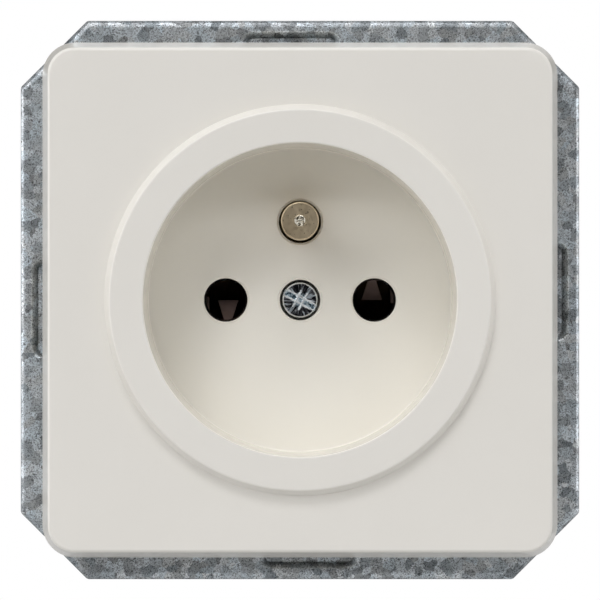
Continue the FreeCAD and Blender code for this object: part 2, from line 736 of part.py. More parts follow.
def contact_spring(side):
    """Closed steel band that presses the two leaves together."""
    x = side * PIN_X
    start = ROTOR_FLOOR + LEAF + 2 * LEAF_MOUTH - BAND_HEIGHT / 2
    half_width = LEAF_PINCH + LEAF + CHAMBER_PLAY
    half_height = LEAF_WIDTH / 2 + CHAMBER_PLAY
    middle = start + BAND_HEIGHT / 2
    half_width += (LEAF_MOUTH - LEAF_PINCH) * (middle - start) / (2 * LEAF_MOUTH)
    bands = []
    for grow in (BAND_THICKNESS, 0.0):
        outline = rectangle(
            x - half_width - grow, x + half_width + grow, -half_height - grow, half_height + grow, grow
        )
        bands.append(slab(outline, start, start + BAND_HEIGHT))
    return bands[0].cut(bands[1])


def terminal_block(x, y0, z, screw_up):
    """Brass block with a wire bore along Y and a threaded hole for the clamping screw."""
    half_width = TERMINAL_WIDTH / 2
    half_height = TERMINAL_HEIGHT / 2
    body = block(
        x - half_width, x + half_width, y0, y0 + TERMINAL_LENGTH, z - half_height, z + half_height
    )
    body = body.makeChamfer(TERMINAL_EDGE, level_edges(body, y0 + TERMINAL_LENGTH))
    low, high = (z, THROUGH) if screw_up else (-THROUGH, z)
    threaded = upright(TERMINAL_SCREW_RADIUS + THREAD_FIT, x, y0 + TERMINAL_LENGTH / 2, low, high)
    return body.cut([disc(WIRE_RADIUS, -THROUGH, THROUGH, x, z), threaded])


def terminal_screw(x, y, z, way):
    """Headless screw with a slotted end, pointing at the wire bore from above or below."""
    tip = z + way * TERMINAL_SCREW_TIP
    end = tip + way * TERMINAL_SCREW_LENGTH
    low, high = min(tip, end), max(tip, end)
    screw = upright(TERMINAL_SCREW_RADIUS, x, y, low, high)
    half = TERMINAL_SCREW_SLOT / 2
    slot_low, slot_high = sorted((end, end - way * 2 * TERMINAL_SCREW_SLOT))
    return screw.cut(block(x - THROUGH, x + THROUGH, y - half, y + half, slot_low, slot_high))


def earth_strip():
    half = TERMINAL_WIDTH / 2
    low = EARTH_OFFSET - EARTH_FLANGE_RADIUS
    high = EARTH_TERMINAL_RISE + TERMINAL_HEIGHT / 2
    strip = slab(rectangle(-half, half, low, high, STRIP), ROTOR_FLOOR, STRIP_BACK)
    return strip.cut(disc(EARTH_TENON_RADIUS + THREAD_FIT, -THROUGH, THROUGH, 0.0, EARTH_OFFSET))


def earth_pin():
    tip = DISH_FLOOR - EARTH_PIN_LENGTH
    foot = DISH_FLOOR - EARTH_PIN_FOOT
    flange = ROTOR_FLOOR - EARTH_FLANGE_THICKNESS
    head = EARTH_TENON_RADIUS + EARTH_TENON_HEAD
    pin = turned([
        (0.0, tip + EARTH_PIN_DIMPLE_DEPTH, 0),
        (EARTH_PIN_DIMPLE_RADIUS, tip, 0),
        (EARTH_PIN_RADIUS, tip, EARTH_PIN_EDGE),
        (EARTH_PIN_RADIUS, foot, 0),
        (EARTH_SHANK_RADIUS, foot, 0),
        (EARTH_SHANK_RADIUS, flange, 0),
        (EARTH_FLANGE_RADIUS, flange, 0),
        (EARTH_FLANGE_RADIUS, ROTOR_FLOOR, 0),
        (EARTH_TENON_RADIUS, ROTOR_FLOOR, 0),
        (EARTH_TENON_RADIUS, STRIP_BACK, 0),
        (head, STRIP_BACK, 0),
        (head, STRIP_BACK + EARTH_TENON_HEAD, 0),
        (0.0, STRIP_BACK + EARTH_TENON_HEAD, 0),
    ])
    return moved(pin, 0.0, 0.0, EARTH_OFFSET)


# Rivets

def rivet(radius, head_radius, head_height, front, back, x, z):
    """Rivet between two levels, with a flat head past each of them."""
    return joined([
        disc(head_radius, front - head_height, front, x, z),
        disc(radius, front, back, x, z),
        disc(head_radius, back, back + head_height, x, z),
    ])


def insert_rivets():
    front = LID_FRONT + INSERT_HEAD_HEIGHT
    return [
        rivet(INSERT_RIVET_RADIUS, INSERT_HEAD_RADIUS, INSERT_HEAD_HEIGHT, front, BASE_BACK, x, z)
        for x, z in insert_rivet_places()
    ]


def support_rivets():
    back = PAN_BACK + EAR_THICKNESS
    return [
        rivet(SUPPORT_RIVET_RADIUS, SUPPORT_HEAD_RADIUS, SUPPORT_HEAD_HEIGHT, PAN_BACK - SHEET, back, x, z)
        for x, z in support_rivet_places()
    ]


def pole_nodes(name, side):
    """Contact, spring band, terminal and screw of one pole."""
    x = side * TERMINAL_X
    front = CHAMBER_FLOOR - LEAF - TERMINAL_LENGTH
    return {
        name + "_contact": contact(side),
        name + "_contact_spring": contact_spring(side),
        name + "_terminal": terminal_block(x, front, -TERMINAL_DROP, False),
        name + "_terminal_screw": terminal_screw(x, terminal_middle(), -TERMINAL_DROP, -1),
    }


def earth_nodes():
    middle = STRIP_BACK + TERMINAL_LENGTH / 2
    return {
        "earth_pin": earth_pin(),
        "earth_strip": earth_strip(),
        "earth_terminal": terminal_block(0.0, STRIP_BACK, EARTH_TERMINAL_RISE, True),
        "earth_terminal_screw": terminal_screw(0.0, middle, EARTH_TERMINAL_RISE, 1),
    }


def all_nodes():
    nodes = {
        "support_plate": support_plate(),
        "cover_plate": cover_plate(),
        "cover_screw": cover_screw(),
        "cover_nut": cover_nut(),
        "insert_lid": insert_lid(),
        "insert_base": insert_base(),
        "shutter": shutter(),
        "shutter_spring": shutter_spring(),
        "insert_rivets": Part.makeCompound(insert_rivets()),
        "support_rivets": Part.makeCompound(support_rivets()),
    }
    nodes.update(earth_nodes())
    nodes.update(pole_nodes("live", -1))
    nodes.update(pole_nodes("neutral", 1))
    return nodes


os.makedirs("parts", exist_ok=True)
for node, shape in all_nodes().items():
    shape.exportStep(os.path.join("parts", node + ".step"))
    size = shape.BoundBox
    print(node, len(shape.Solids), "valid" if shape.isValid() else "INVALID", round(shape.Volume, 2),
          [round(v, 2) for v in (size.XMin, size.XMax, size.YMin, size.YMax, size.ZMin, size.ZMax)])
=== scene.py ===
"""Looks of the flush wall socket: mouldings, metal, plastic, light and camera round the fixed model.

Metres, in the model's own frame: X right, Y into the wall, Z up.
Lengths below are written in millimetres times MM.
"""

import json
import math

import bmesh
import bpy
from mathutils import Matrix, Vector


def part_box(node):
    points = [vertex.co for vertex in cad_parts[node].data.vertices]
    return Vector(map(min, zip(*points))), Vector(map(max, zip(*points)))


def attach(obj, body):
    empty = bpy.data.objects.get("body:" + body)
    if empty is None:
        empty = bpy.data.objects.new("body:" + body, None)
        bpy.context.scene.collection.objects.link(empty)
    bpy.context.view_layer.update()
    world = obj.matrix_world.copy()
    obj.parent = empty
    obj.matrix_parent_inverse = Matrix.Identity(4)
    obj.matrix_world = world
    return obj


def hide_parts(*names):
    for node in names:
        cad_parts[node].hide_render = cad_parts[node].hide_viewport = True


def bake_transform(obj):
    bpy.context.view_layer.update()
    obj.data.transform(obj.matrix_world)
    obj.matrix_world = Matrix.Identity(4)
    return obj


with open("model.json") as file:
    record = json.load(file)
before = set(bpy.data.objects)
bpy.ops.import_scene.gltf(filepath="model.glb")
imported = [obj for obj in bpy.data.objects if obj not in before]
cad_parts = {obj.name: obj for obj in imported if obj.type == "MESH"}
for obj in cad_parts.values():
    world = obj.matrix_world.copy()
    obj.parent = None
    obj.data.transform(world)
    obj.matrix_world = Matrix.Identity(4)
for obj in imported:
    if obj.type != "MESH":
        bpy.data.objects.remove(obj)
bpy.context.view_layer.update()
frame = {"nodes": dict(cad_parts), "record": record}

MM = 0.001

# Camera: a long lens straight in front, as in the photograph
CAMERA_DISTANCE = 1.0
CAMERA_NEAR = 0.01
CAMERA_FAR = 20.0
FRAME_WIDTH = 76.28 * MM
SENSOR_WIDTH = 36.0

# Levels and outlines taken from the model
COVER_LOW, COVER_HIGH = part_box("cover_plate")
COVER_HALF = COVER_HIGH.x + 0.24 * MM
RING_CREST = COVER_LOW.y
PLATE_LOW, PLATE_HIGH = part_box("support_plate")
PLATE_HALF = PLATE_HIGH.x
SHEET_FRONT = PLATE_LOW.y
PIN_LOW, PIN_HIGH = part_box("earth_pin")
EARTH_HEIGHT = (PIN_LOW.z + PIN_HIGH.z) / 2

# Earth pin: points within PIN_END of the tip are its end, within PIN_FACE its end face, and those
# nearer the axis than PIN_FACE_INNER its dimple
PIN_RADIUS = 2.4 * MM
PIN_EDGE = 0.12 * MM
PIN_END = 0.5 * MM
PIN_FACE = 0.05 * MM
PIN_FACE_INNER = 1.2 * MM
DIMPLE_RADIUS = 0.75 * MM
SWIRL_DEPTH = 0.25 * MM

# Head of the cover screw: turn and width of its slot, reach of its cross arm, where its flat ends, where the
# painted shadow of the gap round the head starts and becomes full, and the widths of the painted highlights
# and of their torn outline
SLOT_TURN = math.radians(28.0)
SLOT_HALF = 0.4 * MM
ARM_REACH = 1.35 * MM
HEAD_RIM = 2.18 * MM
GAP_SHADOW_START = HEAD_RIM + 0.08 * MM
GAP_SHADOW_END = HEAD_RIM + 0.16 * MM
PAINTED_HIGHLIGHT_WIDTH = 0.12 * MM
TORN_WIDTH = 0.35 * MM

# Cover plate
COVER_FRONT = RING_CREST + 1.5 * MM
COVER_CORNER = 4.2 * MM
COVER_DRAFT = math.radians(7.3)
COVER_EDGE = 0.45 * MM
COVER_WALL = 2.0 * MM
COVER_EDGE_STRIP = 2.5 * MM
RING_FOOT_RADIUS = 24.7 * MM
RING_TOP_RADIUS = 24.05 * MM
RING_EDGE = 0.3 * MM
RING_FOOT = 0.12 * MM
RING_FOOT_STRIP = 2.0 * MM
RING_HOLLOW_OUTSIDE = 1.5 * MM
MOUTH_RADIUS = 19.8 * MM
MOUTH_EDGE = 0.25 * MM
MOUTH_COLOUR_WIDTH = 0.5 * MM
FLOOR_RADIUS = 19.45 * MM
FLOOR_CORNER = 0.25 * MM
FLOOR_MIDDLE_RADIUS = 12.0 * MM
DISH_FLOOR = RING_CREST + 15.0 * MM
DISH_WALL = 1.8 * MM
BOSS_RADIUS = 3.8 * MM

# Holes in the dish floor: a hole's cutter starts CUT_ABOVE the floor, and CUT_THROUGH reaches past its back
PIN_SPACING = 19.0 * MM
PIN_HOLE_RADIUS = 2.78 * MM
EARTH_HOLE_RADIUS = 2.71 * MM
WELL_RADIUS = 2.6 * MM
WELL_DEPTH = 2.4 * MM
SCREW_HOLE_RADIUS = 1.65 * MM
HOLE_EDGE = 0.28 * MM
CUT_ABOVE = 1.0 * MM
CUT_THROUGH = 6.0 * MM

# Ribs under the cover, from a share of the mouth's radius outwards
RIB_WIDTH = 1.2 * MM
RIB_SPACING = 26.0 * MM
RIB_HEIGHT = 3.0 * MM
RIB_OVERLAP = 0.5 * MM
RIB_START = 0.8

# Support plate: corner cut, rolled-over blanked edge and the depth of the zinc's grain
PLATE_CORNER = 8.45 * MM
PLATE_DIAGONAL = (2 * PLATE_HALF - PLATE_CORNER) * math.sqrt(0.5)
RAW_EDGE = 0.08 * MM
ROLL_WIDTH = 0.9 * MM
ROLL_DEPTH = 0.12 * MM
GRAIN_DEPTH = 0.028 * MM
GRAIN_WARP = 0.6 * MM

# Points along the outline of the cover and round the turned cutters
SIDE_STEPS = 44
CORNER_STEPS = 14
FILLET_STEPS = 6
TURNED_STEPS = 96
BORE_STEPS = 48

# Broken edges: points closer than MERGE are one, faces within FLAT are one, edges above BREAK get a bevel
MERGE = 0.002 * MM
FLAT = math.radians(0.3)
BREAK = math.radians(25.0)
BEVEL_STEPS = 2
COVER_SHARP = math.radians(40.0)
BROKEN_SHARP = math.radians(50.0)
NORMAL_WEIGHT = 90

# Softboxes and the room's own light
LAMP_DISTANCE = 1.8
WHITE = (1.0, 1.0, 1.0)
SKY_WHITE = (0.965, 0.97, 0.995)
ROOM_ABOVE = 0.8
ROOM_LEFT = 2.3
ROOM_RIGHT = 2.0
ROOM_FRONT = 0.01
ROOM_FOCUS = 6.0
ROOM_DARK_END = -0.55
ROOM_LIT_END = -0.25

# Floor under the object, and the shares of its half width between which it fades to white
FLOOR_LEVEL = -60.0 * MM
FLOOR_HALF = 0.4
FADE_START = 0.35 * FLOOR_HALF
FADE_END = 0.95 * FLOOR_HALF

# Grain of the inner metal parts
METAL_GRAIN = 600.0


def rounded(corners):
    """Open polyline of (u, v, radius) with each inner corner replaced by an arc."""
    points = [corners[0][:2]]
    for before, here, after in zip(corners, corners[1:], corners[2:]):
        corner = Vector(here[:2])
        radius = here[2]
        if not radius:
            points.append(tuple(corner))
            continue
        back = (Vector(before[:2]) - corner).normalized()
        ahead = (Vector(after[:2]) - corner).normalized()
        half = back.angle(ahead) / 2
        reach = radius / math.tan(half)
        centre = corner + (back + ahead).normalized() * (radius / math.sin(half))
        start = corner + back * reach - centre
        end = corner + ahead * reach - centre
        sweep = start.angle(end)
        for k in range(FILLET_STEPS + 1):
            turned = sweep * k / FILLET_STEPS
            point = (start * math.sin(sweep - turned) + end * math.sin(turned)) / math.sin(sweep)
            points.append(tuple(centre + point))
    points.append(corners[-1][:2])
    return points


def square_outline(inset):
    """Points of the cover's rounded square, drawn in by an inset, evenly along sides and corners."""
    core = COVER_HALF - COVER_CORNER
    radius = COVER_CORNER - inset
    points = []
    for quarter in range(4):
        turn = Matrix.Rotation(quarter * math.pi / 2, 2)
        for k in range(SIDE_STEPS):
            along = -core + 2 * core * k / SIDE_STEPS
            points.append(turn @ Vector((core + radius, along)))
        for k in range(CORNER_STEPS):
            angle = math.pi / 2 * k / CORNER_STEPS
            points.append(turn @ Vector((core + radius * math.cos(angle), core + radius * math.sin(angle))))
    return points


def circle_outline(radius):
    """Circle with one point on the same ray as each point of the square."""
    return [point.normalized() * radius for point in square_outline(0.0)]


def add_row(bm, outline, level):
    return [bm.verts.new((p.x, level, p.y)) for p in outline]


def bridge(bm, first, second):
    count = len(first)
    for i in range(count):
        j = (i + 1) % count
        bm.faces.new((first[i], first[j], second[j], second[i]))


def cap(bm, row, level):
    middle = bm.verts.new((0.0, level, 0.0))
    count = len(row)
    for i in range(count):
        bm.faces.new((row[i], row[(i + 1) % count], middle))


def skin(bm, rows, first_level, last_level):
    """Closes rows of points into one body, with a cap at each end."""
    for first, second in zip(rows, rows[1:]):
        bridge(bm, first, second)
    cap(bm, rows[0], first_level)
    cap(bm, rows[-1], last_level)
    bmesh.ops.recalc_face_normals(bm, faces=bm.faces)


def new_object(name, bm):
    mesh = bpy.data.meshes.new(name)
    bm.to_mesh(mesh)
    bm.free()
    obj = bpy.data.objects.new(name, mesh)
    bpy.context.scene.collection.objects.link(obj)
    return obj


def turned_solid(profile, steps, place=(0.0, 0.0)):
    """Closed body of revolution about Y from (radius, level) points that start and end on the axis."""
    bm = bmesh.new()
    rows = []
    for radius, level in profile[1:-1]:
        angles = [2 * math.pi * k / steps for k in range(steps)]
        ring = [Vector((radius * math.cos(angle), radius * math.sin(angle))) for angle in angles]
        rows.append(add_row(bm, ring, level))
    skin(bm, rows, profile[0][1], profile[-1][1])
    bmesh.ops.translate(bm, verts=bm.verts, vec=(place[0], 0.0, place[1]))
    return bm


def apply_modifiers(obj):
    """Writes the object's modifiers into its mesh."""
    depsgraph = bpy.context.evaluated_depsgraph_get()
    mesh = bpy.data.meshes.new_from_object(obj.evaluated_get(depsgraph))
    obj.modifiers.clear()
    obj.data = mesh


def cut_with(obj, cutters):
    """Takes the cutters' volumes out of the object and removes the cutters."""
    for cutter in cutters:
        modifier = obj.modifiers.new("cut", "BOOLEAN")
        modifier.operation = "DIFFERENCE"
        modifier.solver = "EXACT"
        modifier.object = cutter
    apply_modifiers(obj)
    for cutter in cutters:
        bpy.data.objects.remove(cutter)


def smooth(obj, sharp_angle):
    """Smooth shading with sharp edges above an angle, weighted so that flat faces stay flat."""
    mesh = obj.data
    mesh.shade_smooth()
    mesh.set_sharp_from_angle(angle=sharp_angle)
    modifier = obj.modifiers.new("weighted", "WEIGHTED_NORMAL")
    modifier.keep_sharp = True
    modifier.weight = NORMAL_WEIGHT


def hole_cutter(name, radius, depth, place=(0.0, 0.0)):
    """Round hole from the dish floor with a chamfered rim."""
    above = DISH_FLOOR - CUT_ABOVE
    profile = [
        (0.0, above), (radius + HOLE_EDGE + CUT_ABOVE, above), (radius, DISH_FLOOR + HOLE_EDGE),
        (radius, DISH_FLOOR + depth), (0.0, DISH_FLOOR + depth),
    ]
    return new_object(name, turned_solid(profile, TURNED_STEPS, place))


def bore_cutter():
    """Plain bore for the screw's shank."""
    end = DISH_FLOOR + CUT_THROUGH
    profile = [(0.0, DISH_FLOOR), (SCREW_HOLE_RADIUS, DISH_FLOOR), (SCREW_HOLE_RADIUS, end), (0.0, end)]
    return new_object("cut_bore", turned_solid(profile, BORE_STEPS))


def cover_front_profile():
    """Dish floor, dish wall, ring and the start of the flat front, from the middle outwards."""
    return rounded([
        (FLOOR_MIDDLE_RADIUS, DISH_FLOOR, 0), (FLOOR_RADIUS, DISH_FLOOR, FLOOR_CORNER),
        (MOUTH_RADIUS, RING_CREST, MOUTH_EDGE), (RING_TOP_RADIUS, RING_CREST, RING_EDGE),
        (RING_FOOT_RADIUS, COVER_FRONT, RING_FOOT), (RING_FOOT_RADIUS + RING_FOOT_STRIP, COVER_FRONT, 0),
    ])


def cover_back_profile():
    """Underside of the front, back of the dish and screw boss, from the outer wall inwards."""
    underside = COVER_FRONT + COVER_WALL
    dish_outside = MOUTH_RADIUS + DISH_WALL
    back = DISH_FLOOR + DISH_WALL
    return [
        (RING_FOOT_RADIUS + RING_HOLLOW_OUTSIDE, underside), (RING_FOOT_RADIUS - DISH_WALL, underside),
        (dish_outside, RING_CREST + COVER_WALL), (dish_outside, back),
        (BOSS_RADIUS, back), (BOSS_RADIUS, COVER_HIGH.y),
    ]


def cover_rows(bm):
    """Front, sides and back of the cover as rows of points, from the dish floor's middle outwards."""
    lean = math.tan(COVER_DRAFT) * (SHEET_FRONT - COVER_FRONT)
    wall = rounded([
        (lean + COVER_EDGE_STRIP, COVER_FRONT, 0), (lean, COVER_FRONT, COVER_EDGE), (0.0, SHEET_FRONT, 0),
    ])
    cavity = [(lean + COVER_WALL, SHEET_FRONT), (lean + COVER_WALL, COVER_FRONT + COVER_WALL)]
    rows = [add_row(bm, circle_outline(radius), level) for radius, level in cover_front_profile()]
    rows += [add_row(bm, square_outline(inset), level) for inset, level in wall + cavity]
    rows += [add_row(bm, circle_outline(radius), level) for radius, level in cover_back_profile()]
    return rows


def add_box(bm, low, high):
    made = bmesh.ops.create_cube(bm, size=1.0)["verts"]
    size = Vector(high) - Vector(low)
    middle = (Vector(high) + Vector(low)) / 2
    bmesh.ops.scale(bm, verts=made, vec=size)
    bmesh.ops.translate(bm, verts=made, vec=middle)
    return made


def cover_ribs(bm):
    """Two stiffening ribs on each side between the dish and the outer wall."""
    underside = COVER_FRONT + COVER_WALL
    for quarter in range(4):
        turn = Matrix.Rotation(quarter * math.pi / 2, 3, "Y")
        for side in (-1, 1):
            middle = side * RIB_SPACING / 2
            low = (middle - RIB_WIDTH / 2, underside - RIB_OVERLAP, MOUTH_RADIUS * RIB_START)
            high = (middle + RIB_WIDTH / 2, underside + RIB_HEIGHT, COVER_HALF - COVER_WALL)
            made = add_box(bm, low, high)
            bmesh.ops.rotate(bm, verts=made, cent=(0, 0, 0), matrix=turn)


def make_cover():
    """The cover moulding with its ring, dish, holes, boss and ribs."""
    bm = bmesh.new()
    skin(bm, cover_rows(bm), DISH_FLOOR, COVER_HIGH.y)
    cover = new_object("cover_moulding", bm)
    cut_with(cover, [
        hole_cutter("cut_left", PIN_HOLE_RADIUS, CUT_THROUGH, (-PIN_SPACING / 2, 0.0)),
        hole_cutter("cut_right", PIN_HOLE_RADIUS, CUT_THROUGH, (PIN_SPACING / 2, 0.0)),
        hole_cutter("cut_earth", EARTH_HOLE_RADIUS, CUT_THROUGH, (0.0, EARTH_HEIGHT)),
        hole_cutter("cut_well", WELL_RADIUS, WELL_DEPTH),
        bore_cutter(),
    ])
    bm = bmesh.new()
    bm.from_mesh(cover.data)
    cover_ribs(bm)
    bm.to_mesh(cover.data)
    bm.free()
    smooth(cover, COVER_SHARP)
    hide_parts("cover_plate")
    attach(cover, "socket")
    paint(cover, MATERIALS["white_plastic"])


def square_pin_end(bm):
    """Draws the earth pin's end face out to a narrow edge."""
    for v in bm.verts:
        across = Vector((v.co.x, 0.0, v.co.z - EARTH_HEIGHT))
        if v.co.y > PIN_LOW.y + PIN_END or across.length < PIN_FACE_INNER:
            continue
        if v.co.y < PIN_LOW.y + PIN_FACE:
            across *= (PIN_RADIUS - PIN_EDGE) / across.length
            v.co = Vector((across.x, v.co.y, EARTH_HEIGHT + across.z))
        else:
            v.co.y = PIN_LOW.y + PIN_EDGE


def break_edges(bm, width):
    """Joins the model's facets into faces and bevels the edges between them."""
    bmesh.ops.remove_doubles(bm, verts=bm.verts, dist=MERGE)
    bmesh.ops.dissolve_limit(
        bm, angle_limit=FLAT, use_dissolve_boundaries=False, verts=bm.verts, edges=bm.edges
    )
    edges = [e for e in bm.edges if len(e.link_faces) == 2 and e.calc_face_angle(0.0) > BREAK]
    bmesh.ops.bevel(
        bm, geom=edges, offset=width, offset_type="OFFSET", segments=BEVEL_STEPS, profile=0.5,
        affect="EDGES", clamp_overlap=False, loop_slide=True,
    )


def softened(node, body, slot_name, width, shape=None, material=None):
    """Copy of a model piece with its edges broken, which stands for that piece."""
    bm = bmesh.new()
    bm.from_mesh(frame["nodes"][node].data)
    if shape:
        shape(bm)
    break_edges(bm, width)
    obj = new_object(node + "_finished", bm)
    smooth(obj, BROKEN_SHARP)
    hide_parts(node)
    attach(obj, body)
    paint(obj, material or MATERIALS[slot_name])


def wound_spring():
    """The shutter's spring, between its leg on the housing and its leg on the wing, as a smooth-shaded copy
    fixed where it stands.
    """
    bm = bmesh.new()
    bm.from_mesh(frame["nodes"]["shutter_spring"].data)
    spring = new_object("shutter_spring_wound", bm)
    spring.data.shade_smooth()
    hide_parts("shutter_spring")
    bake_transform(spring)
    paint(spring, MATERIALS["spring_steel"])


class Nodes:
    """An emptied node tree with short calls for the nodes used here."""

    def __init__(self, tree):
        self.tree = tree
        self.tree.nodes.clear()

    def link(self, output, socket):
        self.tree.links.new(output, socket)

    def node(self, kind, inputs=None, **settings):
        made = self.tree.nodes.new(kind)
        for name, value in settings.items():
            setattr(made, name, value)
        for name, value in (inputs or {}).items():
            if isinstance(value, bpy.types.NodeSocket):
                self.link(value, made.inputs[name])
            else:
                made.inputs[name].default_value = value
        return made

    def ramp(self, value, stops):
        """Colour ramp through (position, colour) stops; a colour may be one grey number."""
        node = self.node("ShaderNodeValToRGB", {"Fac": value})
        elements = node.color_ramp.elements
        while len(elements) < len(stops):
            elements.new(0.5)
        for element, (position, colour) in zip(elements, stops):
            element.position = position
            element.color = (colour, colour, colour, 1.0) if isinstance(colour, float) else (*colour, 1.0)
        return node.outputs["Color"]

    def math(self, operation, first, second=0.0):
        node = self.node("ShaderNodeMath", {0: first, 1: second}, operation=operation)
        return node.outputs["Value"]

    def fade(self, value, start, end, kind="LINEAR"):
        """Zero up to the start, one from the end on; the end may be the lower of the two."""
        inputs = {"Value": value, "From Min": start, "From Max": end}
        return self.node("ShaderNodeMapRange", inputs, interpolation_type=kind).outputs["Result"]

    def mix(self, share, first, second, blend="MIX"):
        node = self.node("ShaderNodeMix", data_type="RGBA", blend_type=blend)
        for socket, value in ((node.inputs[0], share), (node.inputs[6], first), (node.inputs[7], second)):
            if isinstance(value, bpy.types.NodeSocket):
                self.link(value, socket)
            else:
                socket.default_value = value if isinstance(value, float) else (*value, 1.0)
        return node.outputs[2]

    def parts(self, vector):
        """The three coordinates of a vector."""
        return self.node("ShaderNodeSeparateXYZ", {"Vector": vector}).outputs[:3]

    def combine(self, x, y, z):
        return self.node("ShaderNodeCombineXYZ", {"X": x, "Y": y, "Z": z}).outputs[0]

    def length(self, vector):
        return self.node("ShaderNodeVectorMath", {0: vector}, operation="LENGTH").outputs["Value"]

    def scale(self, vector, factor):
        return self.node("ShaderNodeVectorMath", {0: vector, "Scale": factor}, operation="SCALE").outputs[0]

    def add(self, first, second):
        return self.node("ShaderNodeVectorMath", {0: first, 1: second}, operation="ADD").outputs[0]

    def camera_ray(self):
        """One where the camera looks straight at the surface."""
        return self.node("ShaderNodeLightPath").outputs["Is Camera Ray"]


class Shader(Nodes):
    """A material with one surface shader; place is the point in the model's own frame."""

    def __init__(self, name):
        self.material = bpy.data.materials.new(name)
        self.material.use_nodes = True
        super().__init__(self.material.node_tree)
        self.surface = self.node("ShaderNodeBsdfPrincipled")
        self.output = self.node("ShaderNodeOutputMaterial", {"Surface": self.surface.outputs["BSDF"]})
        self.place = self.node("ShaderNodeTexCoord").outputs["Object"]

    def set(self, **values):
        """Sets constants on the surface shader, with underscores for spaces."""
        for name, value in values.items():
            self.surface.inputs[name.replace("_", " ")].default_value = value

    def colour(self, output):
        self.link(output, self.surface.inputs["Base Color"])

    def roughness(self, value, stops):
        self.link(self.ramp(value, stops), self.surface.inputs["Roughness"])

    def noise(self, scale, detail=4.0, roughness=0.55, distortion=0.0, vector=None):
        node = self.node("ShaderNodeTexNoise", {
            "Vector": vector or self.place, "Scale": scale, "Detail": detail,
            "Roughness": roughness, "Distortion": distortion,
        })
        return node.outputs["Fac"]

    def bump(self, height, distance, strength=1.0):
        node = self.node("ShaderNodeBump", {"Height": height, "Distance": distance, "Strength": strength})
        self.link(node.outputs["Normal"], self.surface.inputs["Normal"])

    def across(self, height=0.0):
        """Vector to the point from the line along Y at a height, square to that line."""
        x, _, z = self.parts(self.place)
        return self.combine(x, 0.0, self.math("SUBTRACT", z, height))


def white_plastic():
    """Off-white moulding: faint mottling, a very fine grain, a satin gloss, and a dish painted lighter and
    warmer as painted light for the light bounced round inside it.
    """
    s = Shader("white_plastic")
    s.set(IOR=1.5, Specular_IOR_Level=0.5)
    mottle = s.noise(55.0, 3.0)
    front = s.ramp(mottle, [(0.3, (0.940, 0.906, 0.830)), (0.7, (0.955, 0.921, 0.846))])
    # Painted light: the dish's colour is lighter and warmer than the front's, standing for the light bounced
    # round inside the dish
    dish = s.ramp(mottle, [(0.3, (0.977, 0.946, 0.862)), (0.7, (0.984, 0.955, 0.875))])
    inside = s.fade(s.length(s.across()), MOUTH_RADIUS, MOUTH_RADIUS - MOUTH_COLOUR_WIDTH)
    s.colour(s.mix(inside, front, dish))
    s.roughness(s.noise(900.0, 2.0), [(0.3, 0.21), (0.7, 0.27)])
    s.bump(s.noise(2600.0, 2.0), 0.003 * MM, 0.6)
    return s.material


def edge_distance(s):
    """Distance out from the support plate's blanked outline, below zero on the plate."""
    x, _, z = s.parts(s.place)
    right = s.math("ABSOLUTE", x)
    up = s.math("ABSOLUTE", z)
    straight = s.math("SUBTRACT", s.math("MAXIMUM", right, up), PLATE_HALF)
    diagonal = s.math("MULTIPLY", s.math("ADD", right, up), math.sqrt(0.5))
    return s.math("MAXIMUM", straight, s.math("SUBTRACT", diagonal, PLATE_DIAGONAL))


def zinc_patches(s):
    """Zinc crystals as irregular patches: two random values for each patch, and a fine grain."""
    warp = s.node("ShaderNodeTexNoise", {"Vector": s.place, "Scale": 2000.0, "Detail": 3.0})
    moved = s.add(s.place, s.scale(warp.outputs["Color"], GRAIN_WARP))
    cells = s.node("ShaderNodeTexVoronoi", {"Vector": moved, "Scale": 860.0, "Randomness": 1.0})
    values = s.node("ShaderNodeSeparateColor", {"Color": cells.outputs["Color"]})
    worms = s.noise(2000.0, 3.0, 0.65, 3.0)
    dust = s.noise(5200.0, 3.0, 0.65)
    fine = s.math("ADD", s.math("MULTIPLY", worms, 0.6), s.math("MULTIPLY", dust, 0.4))
    return values.outputs["Green"], values.outputs["Red"], fine


def galvanised_steel():
    """Zinc-coated sheet: fine grain in mottled crystals, a rolled-over blanked edge, bare steel outside."""
    s = Shader("galvanised_steel")
    s.set(Metallic=1.0)
    patch, tint, fine = zinc_patches(s)
    shade = s.ramp(patch, [(0.0, 0.36), (0.3, 0.60), (0.6, 0.80), (1.0, 0.98)])
    hue = s.ramp(tint, [(0.0, (0.86, 0.95, 1.0)), (0.6, (0.92, 0.97, 1.0)), (1.0, (0.97, 1.0, 1.0))])
    mottle = s.ramp(fine, [(0.40, 0.18), (0.46, 0.55), (0.51, 0.92), (0.56, 1.0)])
    zinc = s.mix(1.0, s.mix(1.0, shade, hue, "MULTIPLY"), mottle, "MULTIPLY")
    edge = edge_distance(s)
    bare = s.fade(edge, -RAW_EDGE, -0.6 * RAW_EDGE)
    s.colour(s.mix(bare, zinc, (0.10, 0.11, 0.12)))
    s.roughness(fine, [(0.4, 0.50), (0.6, 0.36)])
    rolled = s.math("MULTIPLY", s.fade(edge, -ROLL_WIDTH, 0.0, "SMOOTHSTEP"), ROLL_DEPTH)
    s.bump(s.math("SUBTRACT", s.math("MULTIPLY", fine, GRAIN_DEPTH), rolled), 1.0)
    return s.material


def zinc_steel():
    """Bright zinc plating with a bluish cast and small handling marks."""
    s = Shader("zinc_steel")
    s.set(Metallic=1.0)
    marks = s.noise(1800.0, 6.0, 0.7, 0.8)
    s.colour(s.ramp(marks, [(0.35, (0.30, 0.36, 0.44)), (0.6, (0.78, 0.84, 0.90))]))
    s.roughness(marks, [(0.3, 0.35), (0.7, 0.16)])
    s.bump(marks, 0.05 * MM, 0.7)
    return s.material


def around_axis(s, spread, reach):
    """Coordinates for noise in rays from the axis: direction times spread, distance times reach."""
    flat = s.across()
    way = s.node("ShaderNodeVectorMath", {0: flat}, operation="NORMALIZE").outputs[0]
    depth = s.combine(0.0, s.math("MULTIPLY", s.length(flat), reach), 0.0)
    return s.add(s.scale(way, spread), depth)


